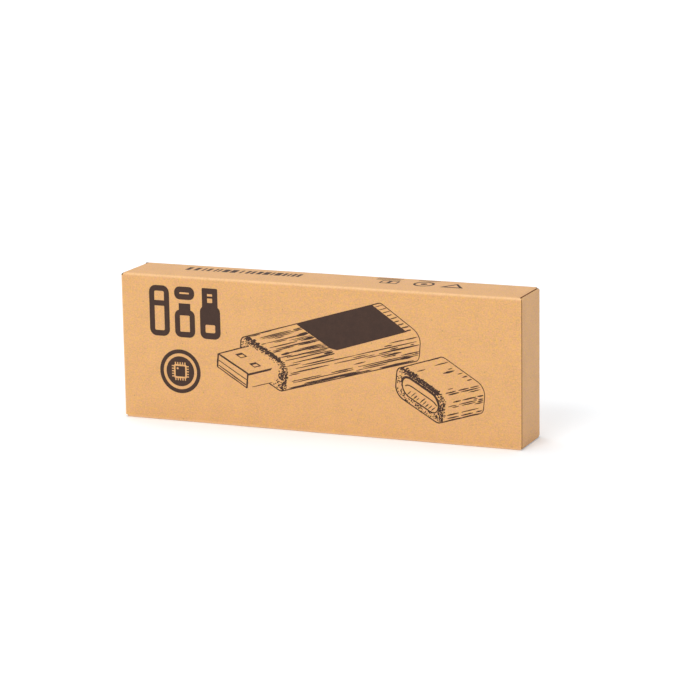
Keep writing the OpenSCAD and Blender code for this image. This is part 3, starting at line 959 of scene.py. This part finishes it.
def draw_block(pen, length, mouth, hidden, label_span, band_pull, specks, strokes, lines, lines_from, gap):
    """The outline, end grain and side grain of the body or the cap.

    mouth is the outline of what sits in the near end, and hidden is a region covered from in front. The
    dark band reaches in to band_pull, a share of the way out from the middle, and has bare specks.
    strokes are short and lines are long and broken. lines_from is where on the rim the lines begin, and
    gap is their longest break.
    """
    pick = pen.draw.uniform
    outer = evenly(section(DRIVE_W, DRIVE_T, EDGE_R), 90)
    reach = [cross(pen.along, pen.ACROSS * q[0] + pen.DOWN * q[1]) for q in outer]
    upper, lower = reach.index(max(reach)), reach.index(min(reach))
    rim = (outer + outer)[upper:lower + 1 if lower > upper else lower + len(outer) + 1]
    back_rim = [q for q in outer if q not in rim]
    start_at = next((i for i, q in enumerate(back_rim) if back_rim[i - 1] != outer[outer.index(q) - 1]), 0)
    back_rim = back_rim[start_at:] + back_rim[:start_at]
    pen.line([pen.at(length, *q) for q in rim], 0.2)
    for q in (rim[0], rim[-1]):
        pen.line([pen.at(length * k / 12, *q) for k in range(13)], 0.24)
    pen.line([pen.at(0, *q) for q in [rim[-1]] + back_rim + [rim[0]]], 0.28)

    def rim_at(share):
        return rim[min(len(rim) - 1, int(share * len(rim)))]

    # the dark band where the end grain turns into the top and the near side
    band = [rim_at(BAND[0] + (BAND[1] - BAND[0]) * k / 16) for k in range(17)]
    for a, b in zip(band, band[1:]):
        spots = [pen.at(0, q[0] * pull, q[1] * pull) for q, pull in
                 ((a, 0.99), (b, 0.99), (b, band_pull), (a, band_pull))]
        if not any(inside(spot, hidden) for spot in spots):
            pen.fill(spots)
    for _ in range(specks):
        q = rim_at(pick(*BAND))
        pull = pick(band_pull, 0.98)
        spot = pen.at(0, q[0] * pull, q[1] * pull)
        size = pick(*SPECK)
        if not inside(spot, hidden):
            pen.dot(spot, size, ink=False)
    # short marks over the rim, longest where it begins, and dots behind it
    marks = int(len(rim) * 3.2)
    for k in range(marks):
        share = (k + pen.draw.random()) / marks
        q = rim_at(share)
        depth = pick(0.25, 1.5) * (1 - 0.75 * share)
        start = pick(-0.1, 0.35)
        pull = pick(0.9, 1.0)
        spot = (q[0] * pull, q[1] * pull)
        if not inside(pen.at(start, *spot), hidden):
            pen.stroke((start, *spot), (start + depth, *spot), pick(0.2, 0.42), 0.5, 3)
    for k in range(marks):
        q = rim_at((k + pen.draw.random()) / marks)
        pull = pick(0.76, 0.98)
        spot = pen.at(0, q[0] * pull, q[1] * pull)
        if not inside(spot, hidden):
            pen.dot(spot, pick(0.14, 0.27))
    # end grain
    inner = section(DRIVE_W - 0.6, DRIVE_T - 0.6, EDGE_R)
    for _ in range(END_DOTS):
        q = (pick(-0.5, 0.5) * DRIVE_W, pick(-0.5, 0.5) * DRIVE_T)
        spot = pen.at(0, *q)
        size = pick(*DOT)
        if inside(q, inner) and not inside(q, mouth) and not inside(spot, hidden):
            pen.dot(spot, size)
    # grain on the top, the rounded edge and the near side
    for k in range(strokes):
        q = rim_at(0.03 + 0.95 * (k + pen.draw.random()) / strokes)
        on_top = abs(q[1] + DRIVE_T / 2) < ON_TOP
        start = pick(0.2, length - 1.5)
        size = pick(1.5, 7.0) * (2.8 if pen.draw.random() < 0.35 else 1)
        end = min(length - pick(0.0, 0.8), start + size)
        heavy = pen.draw.random() < (0.16 if on_top else 0.10)
        width = pick(0.38, 0.62) if heavy else pick(0.17, 0.30)
        if on_top and label_span:
            end = min(end, label_span[0])
        if end - start > 0.6:
            pen.stroke((start, *q), (end, *q), width, 0.8)
    # long broken lines of grain
    for k in range(lines):
        q = rim_at(lines_from + (RIM_END - lines_from) * (k + pen.draw.random()) / lines)
        stop = label_span[0] if label_span and abs(q[1] + DRIVE_T / 2) < ON_TOP else length - 0.5
        start = pick(1.0, 4.0)
        while start < stop - 1.5:
            end = min(stop, start + pick(0.15, 0.45) * length)
            pen.stroke((start, *q), (end, *q), pick(0.22, 0.36), 0.6, 8, 0.02)
            start = end + pick(0.5, gap)


def draw_body():
    """The body with its label, and the plug, which covers part of the end face."""
    pen = Sketch((-13.2, 15.5), (0.637, 0.186), 11)
    pick = pen.draw.uniform
    half_w, half_t = PLUG_W / 2 + 0.2, PLUG_T / 2
    tip = -PLUG_OUT - 0.5
    lift = 0.55
    upper, lower = -half_t - lift, half_t
    face = [(-half_w, upper), (half_w, upper + 0.1), (half_w, lower + 0.3), (-half_w, lower - 0.3)]
    covered = [pen.at(tip, *face[0]), pen.at(0.4, *face[0]), pen.at(0.4, *face[1]),
               pen.at(-0.8, *face[2]), pen.at(tip, *face[2]), pen.at(tip, *face[3])]
    label_end = BODY_L - 3
    label_span = (label_end - 29.5, label_end)
    draw_block(pen, BODY_L, section(13.2, 5.4, 2.6), covered, label_span, band_pull=0.86, specks=230,
               strokes=125, lines=15, lines_from=0.08, gap=4.0)
    flat = DRIVE_W / 2 - EDGE_R
    top = -DRIVE_T / 2
    for k in range(9):
        across = -flat + 2 * flat * k / 8
        end = BODY_L - pick(0.0, 1.2)
        pen.stroke((label_span[1], across, top), (end, across, top), 0.16 + 0.02 * k, 0.3)
    near, far = flat + 1.2, -flat - 1.2
    pen.fill([pen.at(label_span[0], far, top + 0.2), pen.at(label_span[0], flat, top),
              pen.at(label_span[0] + 1.6, near, top + 0.25), pen.at(label_span[1], flat + 0.5, top),
              pen.at(label_span[1], far, top + 0.2)])
    # the near end of the core and the magnet beside it
    steps = [2 * math.pi * k / 20 for k in range(21)]
    centre = pen.at(0, 7.3, 0.2)
    pen.line([centre + (pen.ACROSS * math.cos(a) + pen.DOWN * math.sin(a)) * 0.85 for a in steps], 0.3)
    bend = [math.radians(-62 + 124 * k / 14) for k in range(15)]
    pen.line([pen.at(0, 2.8 * math.cos(a) + 6.4, 3.4 * math.sin(a)) for a in bend], 0.22)
    for _ in range(26):
        start = (0, pick(-7.5, 4.5), 3.3)
        pen.stroke(start, (0, start[1] + 0.7, pick(1.8, 2.9)), pick(0.2, 0.36))
    # the plug: bare board first, then its edges, windows and shade
    pen.fill(covered, ink=False)
    tip_edges = [(tip, *spot) for spot in face]
    for start, end, width, taper in (
            (tip_edges[0], (-0.2, *face[0]), 0.28, 0.2),
            (tip_edges[0], tip_edges[1], 0.42, 0.1),
            (tip_edges[0], tip_edges[3], 0.42, 0.1),
            (tip_edges[1], tip_edges[2], 0.42, 0.1),
            (tip_edges[3], tip_edges[2], 0.26, 0.1),
            ((tip, -half_w + 0.4, upper + 2.2), (tip, half_w, upper + 2.5), 0.2, 0.1),
            ((tip, -half_w + 0.5, lower - 1.1), (tip, half_w - 0.5, lower - 0.6), 0.3, 0.3)):
        pen.stroke(start, end, width, taper)
    pen.fill([pen.at(tip, half_w, upper + 0.05), pen.at(-2.6, half_w, upper),
              pen.at(-3.2, half_w, upper + 0.75), pen.at(tip + 0.3, half_w, upper + 0.85)])
    pen.stroke((tip + 2.2, *face[2]), (-2.2, *face[2]), 0.2, 0.5)
    for middle in (-2.9, 2.9):
        x, y = tip + 4.7, middle - 1.1
        for corners_2d, ink in ((slab(x, y, x + 2.7, y + 2.4), True),
                                (slab(x + 0.4, y + 0.9, x + 2.15, y + 2.0), False)):
            pen.fill([pen.at(*spot, upper) for spot in corners_2d], ink)
    for _ in range(30):
        spot = pen.at(pick(tip + 0.6, -0.6), pick(-half_w + 0.6, half_w - 0.6), upper)
        pen.dot(spot, pick(0.03, 0.07))
    printed("print_body_drawing", pen.shapes, on_front)


def draw_cap():
    """The cap, with its open mouth towards the viewer."""
    pen = Sketch((25.7, 11.0), (0.575, 0.180), 23)
    pick = pen.draw.uniform
    mouth = section(14.6, 6.4, 3.1)
    draw_block(pen, CAP_L, mouth, [], None, band_pull=0.74, specks=130, strokes=16, lines=8,
               lines_from=0.58, gap=1.2)
    loop = evenly(mouth, 60)
    pen.line([pen.at(0, *q) for q in loop + loop[:1]], 0.3)
    pen.line([pen.at(0, q[0] * 1.04, q[1] * 1.08) for q in loop[:30]], 0.45)
    # the far rim of the liner, deep in the mouth, and the shading on the floor before it
    pen.line([pen.at(0.6, q[0] * 0.9, q[1] * 0.5 + 1.1) for q in loop[1:28]], 0.26)
    shades = 9
    for k in range(shades):
        across = -5.4 + 11.2 * (k + 0.4 * pen.draw.random()) / shades
        reach = pick(1.0, 2.1)
        pen.stroke((0.1, across, 2.8), (1.2 * reach, across, 2.8 - 0.6 * reach), pick(0.2, 0.32))
    printed("print_cap_drawing", pen.shapes, on_front)


draw_body()
draw_cap()

# ---- floor, light and camera


def floor():
    """A pale floor, 12 m square."""
    mesh = bpy.data.meshes.new("floor")
    far = 6.0
    mesh.from_pydata([(-far, -far, 0), (far, -far, 0), (far, far, 0), (-far, far, 0)], [], [(0, 1, 2, 3)])
    n = Nodes("pale_floor")
    cloud = n.noise(n.place(), 2.0, 2)
    colour = n.stain((0.925, 0.95, 0.975), cloud, 0.3, 0.7, 1.0, (0.94, 0.965, 0.99))
    # the floor glows a little, more where the lamps hardly reach it
    away = n.node("VectorMath", {0: n.place()}, output="Value", operation="LENGTH")
    mesh.materials.append(n.finish(colour, 0.85, Specular_IOR_Level=0.1, Emission_Color=(1, 1, 1),
                                   Emission_Strength=n.ramp(away, 0.12, 1.3, 0.15, 0.68)))
    placed("floor", mesh)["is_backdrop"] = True


LAMP_AWAY = 1.2  # metres from the middle of the carton
LAMPS = [
    # name, the way to it, width in metres, power in watts
    ("key", (-0.11, -0.84, 0.84), 0.5, 4.5),
    ("overhead", (0.0, 0.1, 1.2), 0.6, 2.9),
    ("left_fill", (-1.0, -0.3, 0.5), 0.6, 0.4),
    ("back_fill", (-0.7, 0.6, 0.8), 0.6, 1.2),
]


def studio():
    """A white room, a little brighter on the left, with round soft boxes."""
    world = Nodes("studio", "worlds", "Background")
    sideways = world.split(world.node("TexCoord", output="Generated"))[0]
    world.feed(world.shader, {"Color": (1, 1, 1), "Strength": world.ramp(sideways, -1.0, 1.0, 0.70, 0.43)})
    bpy.context.scene.world = world.owner
    for name, way, width, power in LAMPS:
        lamp = bpy.data.lights.new(name, "AREA")
        lamp.shape = "DISK"
        lamp.size = width
        lamp.energy = power
        made = placed(name, lamp)
        made.location = Vector(way).normalized() * LAMP_AWAY + Vector((0, 0, TALL / 2 * MM))
        made.rotation_euler = Vector(way).to_track_quat("Z", "Y").to_euler()
    bpy.context.scene.view_settings.view_transform = "Standard"


def camera():
    """A long lens in front of the carton, a little to its right and above it."""
    azimuth, elevation, roll = math.radians(22.66), math.radians(12.43), math.radians(-0.87)
    distance, target = 638.2, Vector((5.68, 0, 18.66))
    out = Vector((math.sin(azimuth) * math.cos(elevation), -math.cos(azimuth) * math.cos(elevation),
                  math.sin(elevation)))
    data = bpy.data.cameras.new("camera")
    data.lens = 141.8
    data.sensor_width = 36
    data.clip_start = 0.01
    data.clip_end = 50
    made = placed("camera", data)
    made.location = (target + out * distance) * MM
    aim = out.to_track_quat("Z", "Y").to_matrix()
    made.rotation_euler = (aim @ Matrix.Rotation(roll, 3, "Z")).to_euler()
    bpy.context.scene.camera = made


floor()
studio()
camera()

shown_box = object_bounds()
[[list(corner_point) for corner_point in box] for box in (cad_box, shown_box)]
